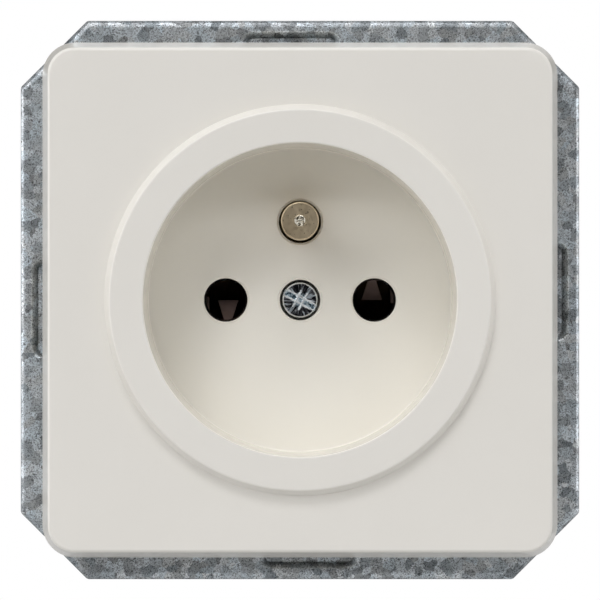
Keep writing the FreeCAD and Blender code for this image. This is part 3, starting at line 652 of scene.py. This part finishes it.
def band(s, value, centre, half):
    """One where the value lies within half of the centre, fading at both ends."""
    away = s.math("ABSOLUTE", s.math("SUBTRACT", value, centre))
    return s.fade(away, 1.4 * half, 0.6 * half)


def slot_places(s):
    """Distances from the screw's slot, from its cross arm and from its axis, with a torn outline."""
    x, _, z = s.parts(s.place)
    torn = s.math("MULTIPLY", s.math("SUBTRACT", s.noise(2600.0, 2.0), 0.5), TORN_WIDTH)
    sine = math.sin(SLOT_TURN)
    cosine = math.cos(SLOT_TURN)
    across = s.math("ADD", s.math("MULTIPLY", x, sine), s.math("MULTIPLY", z, cosine))
    along = s.math("SUBTRACT", s.math("MULTIPLY", x, cosine), s.math("MULTIPLY", z, sine))
    from_slot = s.math("ABSOLUTE", s.math("ADD", across, torn))
    from_arm = s.math("ABSOLUTE", s.math("ADD", along, torn))
    return from_slot, from_arm, s.math("ADD", s.length(s.across()), s.math("MULTIPLY", torn, 0.3))


def painted_edge_highlights(s, from_slot, from_arm, far):
    """Painted highlights along the edges of the slot, of the cross arm and of the head's rim."""
    near = s.fade(far, ARM_REACH, 0.9 * ARM_REACH)
    slot_edge = band(s, from_slot, SLOT_HALF, PAINTED_HIGHLIGHT_WIDTH)
    arm_edge = s.math("MULTIPLY", band(s, from_arm, SLOT_HALF, PAINTED_HIGHLIGHT_WIDTH), near)
    rim = band(s, far, HEAD_RIM, 0.7 * PAINTED_HIGHLIGHT_WIDTH)
    return s.math("MAXIMUM", s.math("MAXIMUM", slot_edge, arm_edge), rim)


def screw_zinc_painted_light():
    """Blue zinc on the head of the cover screw: chatter rays in fields with a painted dark reflection,
    painted highlights along the edges, and a painted shadow beyond the rim.
    """
    s = Shader("screw_zinc_painted_light")
    s.set(Metallic=1.0)
    from_slot, from_arm, far = slot_places(s)
    chatter = s.noise(1.0, 3.0, 0.6, 0.6, around_axis(s, 5.0, 500.0))
    marks = s.noise(3000.0, 2.0, 0.6, 0.8)
    # The chatter rays are real marks; the fields' near-black tone is a painted dark reflection
    chatter_painted_dark = s.ramp(chatter, [
        (0.45, (0.012, 0.013, 0.016)), (0.54, (0.10, 0.10, 0.11)), (0.62, (0.62, 0.68, 0.72)),
    ])
    cut = s.ramp(marks, [(0.40, (0.05, 0.08, 0.11)), (0.50, (0.42, 0.58, 0.68)), (0.58, (0.88, 0.97, 1.0))])
    slot = s.fade(from_slot, SLOT_HALF, 0.9 * SLOT_HALF)
    star = s.fade(far, 0.75 * ARM_REACH, 0.5 * ARM_REACH)
    # Painted highlights: near-white along the slot, cross arm and rim edges
    painted_highlight = painted_edge_highlights(s, from_slot, from_arm, far)
    tone = s.mix(painted_highlight, s.mix(s.math("MAXIMUM", slot, star), chatter_painted_dark, cut), (0.96, 0.99, 1.0))
    # Painted shadow: near black beyond the head's rim, for the gap round the head
    outside = s.fade(far, GAP_SHADOW_START, GAP_SHADOW_END)
    s.colour(s.mix(outside, tone, (0.012, 0.012, 0.013)))
    s.roughness(marks, [(0.4, 0.42), (0.6, 0.28)])
    s.bump(s.math("ADD", s.math("MULTIPLY", marks, 0.04 * MM), s.math("MULTIPLY", painted_highlight, 0.03 * MM)), 1.0)
    return s.material


def nickel_brass():
    """Dull nickel over brass: an olive tone, pin-pricks, and a torn swirl in the centre dimple, whose dark
    and near-white tones are partly painted shade and painted highlight.
    """
    s = Shader("nickel_brass")
    s.set(Metallic=1.0)
    olive = s.ramp(s.noise(350.0, 4.0), [(0.3, (0.56, 0.45, 0.29)), (0.7, (0.68, 0.56, 0.38))])
    pricks = s.ramp(s.noise(2600.0, 2.0), [(0.30, 0.35), (0.36, 1.0)])
    torn = s.noise(1500.0, 1.0, 0.5, 2.5)
    # Swirl in the dimple: partly real torn metal, with its near-black tone painted shade and its near-white
    # tone painted highlight
    swirl = s.ramp(torn, [(0.42, (0.10, 0.085, 0.06)), (0.5, (0.62, 0.56, 0.44)), (0.6, (0.92, 0.88, 0.76))])
    inside = s.fade(s.length(s.across(EARTH_HEIGHT)), DIMPLE_RADIUS, 0.85 * DIMPLE_RADIUS)
    s.colour(s.mix(inside, s.mix(1.0, olive, pricks, "MULTIPLY"), swirl))
    s.roughness(s.noise(2500.0, 4.0), [(0.3, 0.32), (0.7, 0.45)])
    height = s.math("MULTIPLY", s.math("MULTIPLY", torn, inside), SWIRL_DEPTH)
    s.bump(s.math("ADD", height, s.math("MULTIPLY", s.noise(4000.0, 3.0), 0.004 * MM)), 1.0)
    return s.material


def black_plastic():
    """Glossy black moulding with faint flow marks."""
    s = Shader("black_plastic")
    s.set(IOR=1.55)
    s.colour(s.ramp(s.noise(300.0, 4.0), [(0.3, (0.007, 0.007, 0.007)), (0.7, (0.012, 0.011, 0.011))]))
    s.roughness(s.noise(1200.0, 4.0), [(0.3, 0.16), (0.7, 0.30)])
    s.bump(s.noise(900.0, 3.0), 0.01 * MM, 0.5)
    return s.material


def brown_plastic():
    """Dull brown moulding with a fine grain."""
    s = Shader("brown_plastic")
    s.set(Specular_IOR_Level=0.25)
    s.colour(s.ramp(s.noise(700.0, 4.0), [(0.3, (0.27, 0.19, 0.165)), (0.7, (0.33, 0.235, 0.205))]))
    s.roughness(s.noise(1500.0, 3.0), [(0.3, 0.50), (0.7, 0.62)])
    s.bump(s.noise(3000.0, 3.0), 0.01 * MM, 0.5)
    return s.material


def plain_metal(name, dark, light, roughness):
    """Metal with cloudy tone and fine drawn marks."""
    s = Shader(name)
    s.set(Metallic=1.0)
    tone = s.noise(METAL_GRAIN, 5.0, 0.65)
    s.colour(s.ramp(tone, [(0.3, dark), (0.7, light)]))
    s.roughness(tone, [(0.3, roughness + 0.1), (0.7, roughness - 0.06)])
    s.bump(s.noise(3.0 * METAL_GRAIN, 4.0), 0.01 * MM, 0.6)
    return s.material


def pale_floor():
    """Matt pale floor that fades into the white background before its edge."""
    s = Shader("pale_floor")
    s.set(Roughness=0.8)
    s.colour(s.ramp(s.noise(6.0, 3.0), [(0.3, 0.60), (0.7, 0.64)]))
    faded = s.fade(s.length(s.place), FADE_START, FADE_END, "SMOOTHSTEP")
    seen = s.math("MULTIPLY", faded, s.camera_ray())
    white = s.node("ShaderNodeEmission", {"Color": (*WHITE, 1.0), "Strength": 1.0})
    mixed = s.node("ShaderNodeMixShader", {0: seen, 1: s.surface.outputs["BSDF"], 2: white.outputs[0]})
    s.link(mixed.outputs[0], s.output.inputs["Surface"])
    return s.material


MATERIALS = {
    "white_plastic": white_plastic(),
    "galvanised_steel": galvanised_steel(),
    "zinc_steel": zinc_steel(),
    "nickel_brass": nickel_brass(),
    "black_plastic": black_plastic(),
    "brown_plastic": brown_plastic(),
    "brass": plain_metal("brass", (0.50, 0.34, 0.13), (0.68, 0.50, 0.24), 0.30),
    "bronze": plain_metal("bronze", (0.14, 0.08, 0.045), (0.24, 0.145, 0.085), 0.42),
    "spring_steel": plain_metal("spring_steel", (0.28, 0.29, 0.31), (0.46, 0.47, 0.50), 0.32),
}


def paint(obj, material):
    obj.data.materials.clear()
    obj.data.materials.append(material)


def dress_nodes():
    """Gives every model piece its slot's material."""
    for part in frame["record"]["subparts"]:
        paint(frame["nodes"][part["node"]], MATERIALS[part["material_slot"]])


def finish_pieces():
    """Broken edges on the pieces that can be seen closely, and a smooth-shaded copy of the shutter's spring.
    """
    softened("support_plate", "socket", "galvanised_steel", 0.1 * MM)
    softened("insert_lid", "socket", "black_plastic", 0.08 * MM)
    softened("insert_base", "socket", "black_plastic", 0.15 * MM)
    softened("shutter", "shutter_rotor", "brown_plastic", 0.08 * MM)
    wound_spring()
    softened("earth_pin", "socket", "nickel_brass", 0.04 * MM, shape=square_pin_end)
    softened("cover_screw", "socket", "zinc_steel", 0.05 * MM, material=screw_zinc_painted_light())


def add_light(name, around, off, width, height, energy, colour=SKY_WHITE):
    """Softbox aimed at the socket: degrees right of straight up, degrees off the socket's axis, and size."""
    data = bpy.data.lights.new(name, "AREA")
    data.shape = "RECTANGLE"
    data.size = width
    data.size_y = height
    data.energy = energy
    data.color = colour
    obj = bpy.data.objects.new(name, data)
    turn = Matrix.Rotation(math.radians(around), 4, "Y")
    lift = Matrix.Rotation(math.radians(90.0 - off), 4, "X")
    obj.matrix_world = turn @ lift @ Matrix.Translation((0.0, 0.0, LAMP_DISTANCE))
    bpy.context.scene.collection.objects.link(obj)


def studio_light():
    """Softboxes in an arch above the camera, most from above, a strip for the metal, and one behind."""
    add_light("left", around=-50.0, off=38.0, width=1.2, height=0.5, energy=5.0)
    add_light("far_left", around=-66.0, off=56.0, width=0.8, height=0.6, energy=1.8)
    add_light("top", around=-8.0, off=54.0, width=1.1, height=0.5, energy=10.6)
    add_light("right", around=58.0, off=46.0, width=0.8, height=0.6, energy=3.1)
    add_light("strip", around=-5.0, off=25.0, width=1.6, height=0.2, energy=3.5)
    add_light("behind", around=25.0, off=140.0, width=1.2, height=1.2, energy=8.0, colour=WHITE)


def studio_world():
    """Room with pale walls above and beside the socket and a dark end behind the camera, seen as white."""
    world = bpy.data.worlds.new("studio")
    bpy.context.scene.world = world
    world.use_nodes = True
    room = Nodes(world.node_tree)
    x, y, z = room.parts(room.node("ShaderNodeTexCoord").outputs["Generated"])
    light = ROOM_FRONT
    for axis, side, strength in ((z, 1.0, ROOM_ABOVE), (x, -1.0, ROOM_LEFT), (x, 1.0, ROOM_RIGHT)):
        facing = room.math("MAXIMUM", room.math("MULTIPLY", axis, side), 0.0)
        wall = room.math("MULTIPLY", room.math("POWER", facing, ROOM_FOCUS), strength)
        light = room.math("ADD", wall, light)
    front = room.fade(y, ROOM_DARK_END, ROOM_LIT_END, "SMOOTHSTEP")
    strength = room.math("MULTIPLY", light, front)
    lit = room.node("ShaderNodeBackground", {"Color": (*SKY_WHITE, 1.0), "Strength": strength})
    seen = room.node("ShaderNodeBackground", {"Color": (*WHITE, 1.0), "Strength": 1.0})
    mix = room.node("ShaderNodeMixShader", {0: room.camera_ray(), 1: lit.outputs[0], 2: seen.outputs[0]})
    room.node("ShaderNodeOutputWorld", {"Surface": mix.outputs[0]})


def make_camera():
    data = bpy.data.cameras.new("camera")
    data.sensor_width = SENSOR_WIDTH
    data.lens = SENSOR_WIDTH * (CAMERA_DISTANCE + SHEET_FRONT) / FRAME_WIDTH
    data.clip_start = CAMERA_NEAR
    data.clip_end = CAMERA_FAR
    camera = bpy.data.objects.new("camera", data)
    camera.location = (0.0, -CAMERA_DISTANCE, 0.0)
    camera.rotation_euler = (math.pi / 2, 0.0, 0.0)
    bpy.context.scene.collection.objects.link(camera)
    bpy.context.scene.camera = camera


def make_floor():
    bm = bmesh.new()
    bmesh.ops.create_grid(bm, x_segments=1, y_segments=1, size=FLOOR_HALF)
    bmesh.ops.translate(bm, verts=bm.verts, vec=(0.0, 0.0, FLOOR_LEVEL))
    floor = new_object("floor", bm)
    floor.data.materials.append(pale_floor())


make_camera()
studio_world()
studio_light()
make_floor()
dress_nodes()
make_cover()
finish_pieces()

bpy.context.scene.view_settings.view_transform = "Standard"
